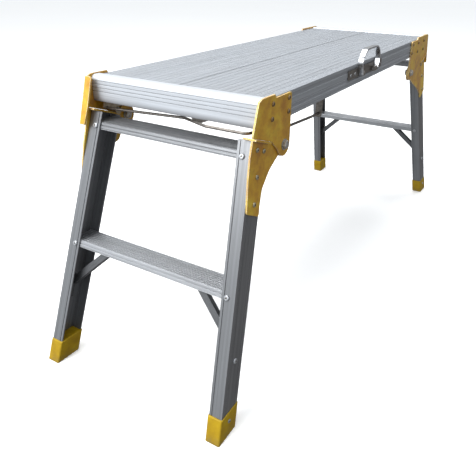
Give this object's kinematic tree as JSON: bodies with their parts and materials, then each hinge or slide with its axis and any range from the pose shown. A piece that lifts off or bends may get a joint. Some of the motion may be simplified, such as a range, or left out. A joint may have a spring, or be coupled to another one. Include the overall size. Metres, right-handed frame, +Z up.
{
  "type": "folding work platform",
  "caption": "Low folding work platform: ribbed aluminium deck on splayed leg frames with a step at each end, yellow hinge brackets, rubber feet and a carry handle.",
  "frame": {"origin": "on the floor under the centre of the deck", "axes": "+X along the deck towards end B, +Y across the deck, +Z up"},
  "size_m": [1.2358, 0.3948, 0.526],
  "materials": {
    "ribbed_aluminium": "mill finish extrusion, fine ribs along the deck",
    "extruded_aluminium": "mill finish extrusion, satin with die lines",
    "rivet_aluminium": "dull",
    "yellow_coat": "semi-gloss powder coat on pressed steel",
    "yellow_rubber": "matt moulded",
    "chrome": "bright plated",
    "zinc_steel": "zinc plated"
  },
  "bodies": {
    "deck": {"deck_plank_left": "ribbed_aluminium", "deck_plank_right": "ribbed_aluminium", "end_profile_a": "extruded_aluminium", "end_profile_b": "extruded_aluminium", "platform_bracket_a_left": "yellow_coat", "platform_bracket_a_right": "yellow_coat", "platform_bracket_b_left": "yellow_coat", "platform_bracket_b_right": "yellow_coat", "platform_bracket_rivets": "rivet_aluminium", "pivot_bolts": "zinc_steel", "pivot_nuts": "zinc_steel", "latch_guide_pins": "zinc_steel", "wire_guide_a": "zinc_steel", "wire_guide_b": "zinc_steel", "wire_tab_a": "zinc_steel", "wire_tab_b": "zinc_steel", "handle_plate": "zinc_steel", "handle_plate_rivets": "rivet_aluminium"},
    "leg_a": {"stile_a_left": "extruded_aluminium", "stile_a_right": "extruded_aluminium", "foot_a_left": "yellow_rubber", "foot_a_right": "yellow_rubber", "brace_a_left": "extruded_aluminium", "brace_a_right": "extruded_aluminium", "leg_bracket_a_left": "yellow_coat", "leg_bracket_a_right": "yellow_coat", "top_rail_a": "extruded_aluminium", "step_a": "extruded_aluminium", "leg_bracket_rivets_a": "rivet_aluminium", "frame_rivets_a": "rivet_aluminium", "foot_rivets_a": "rivet_aluminium"},
    "leg_b": {"stile_b_left": "extruded_aluminium", "stile_b_right": "extruded_aluminium", "foot_b_left": "yellow_rubber", "foot_b_right": "yellow_rubber", "brace_b_left": "extruded_aluminium", "brace_b_right": "extruded_aluminium", "leg_bracket_b_left": "yellow_coat", "leg_bracket_b_right": "yellow_coat", "top_rail_b": "extruded_aluminium", "step_b": "extruded_aluminium", "leg_bracket_rivets_b": "rivet_aluminium", "frame_rivets_b": "rivet_aluminium", "foot_rivets_b": "rivet_aluminium"},
    "handle": {"handle_bail": "chrome"},
    "release_a": {"release_wire_a": "zinc_steel", "latch_plate_a_left": "zinc_steel", "latch_plate_a_right": "zinc_steel"},
    "release_b": {"release_wire_b": "zinc_steel", "latch_plate_b_left": "zinc_steel", "latch_plate_b_right": "zinc_steel"}
  },
  "joints": [
    {"name": "leg_a_fold", "type": "hinge", "parent": "deck", "child": "leg_a", "pos_m": [-0.376, 0, 0.421], "axis": [0, -1, 0], "range_deg": [0, 112]},
    {"name": "leg_b_fold", "type": "hinge", "parent": "deck", "child": "leg_b", "pos_m": [0.324, 0, 0.421], "axis": [0, 1, 0], "range_deg": [0, 109]},
    {"name": "handle_swing", "type": "hinge", "parent": "deck", "child": "handle", "pos_m": [-0.0245, -0.1726, 0.479], "axis": [1, 0, 0], "range_deg": [0, 175]},
    {"name": "release_a_pull", "type": "slide", "parent": "deck", "child": "release_a", "axis": [-1, 0, 0], "range_m": [0, 0.006], "stiffness_N_per_m": 400},
    {"name": "release_b_pull", "type": "slide", "parent": "deck", "child": "release_b", "axis": [1, 0, 0], "range_m": [0, 0.006], "stiffness_N_per_m": 400}
  ]
}
